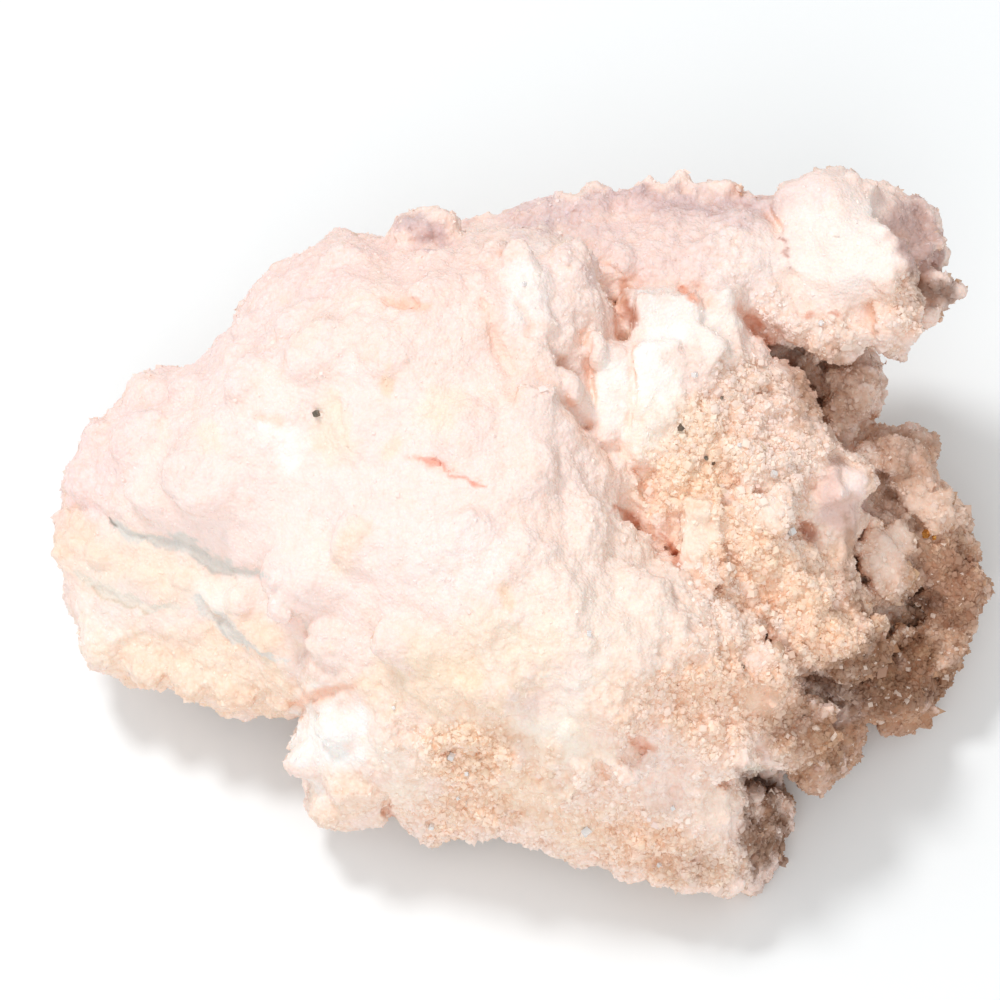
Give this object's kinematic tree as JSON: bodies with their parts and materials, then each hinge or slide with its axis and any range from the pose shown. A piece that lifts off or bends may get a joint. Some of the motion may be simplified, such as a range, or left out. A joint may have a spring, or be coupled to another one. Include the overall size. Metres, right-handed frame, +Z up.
{
  "type": "kutnahorite specimen",
  "caption": "Free-standing display specimen: overlapping plates and lobes of druse-coated carbonate grown together, pale pink to tan, resting on a worn flat.",
  "frame": {"origin": "on the resting plane, at the centre of the bounding box seen from above", "axes": "+X along the longest extent, from the pale left tip to the brown lobes on the right; +Y towards the back, where the upper rim is; +Z up, away from the worn flat that the specimen rests on. The broad crystallised face looks up and towards -Y."},
  "size_m": [0.104, 0.08, 0.0508],
  "materials": {
    "kutnahorite": "pale pink-white fine druse, sparkling and slightly see-through, stained tan to brown towards the right and the rims"
  },
  "bodies": {
    "root": {"specimen": "kutnahorite"}
  },
  "joints": []
}
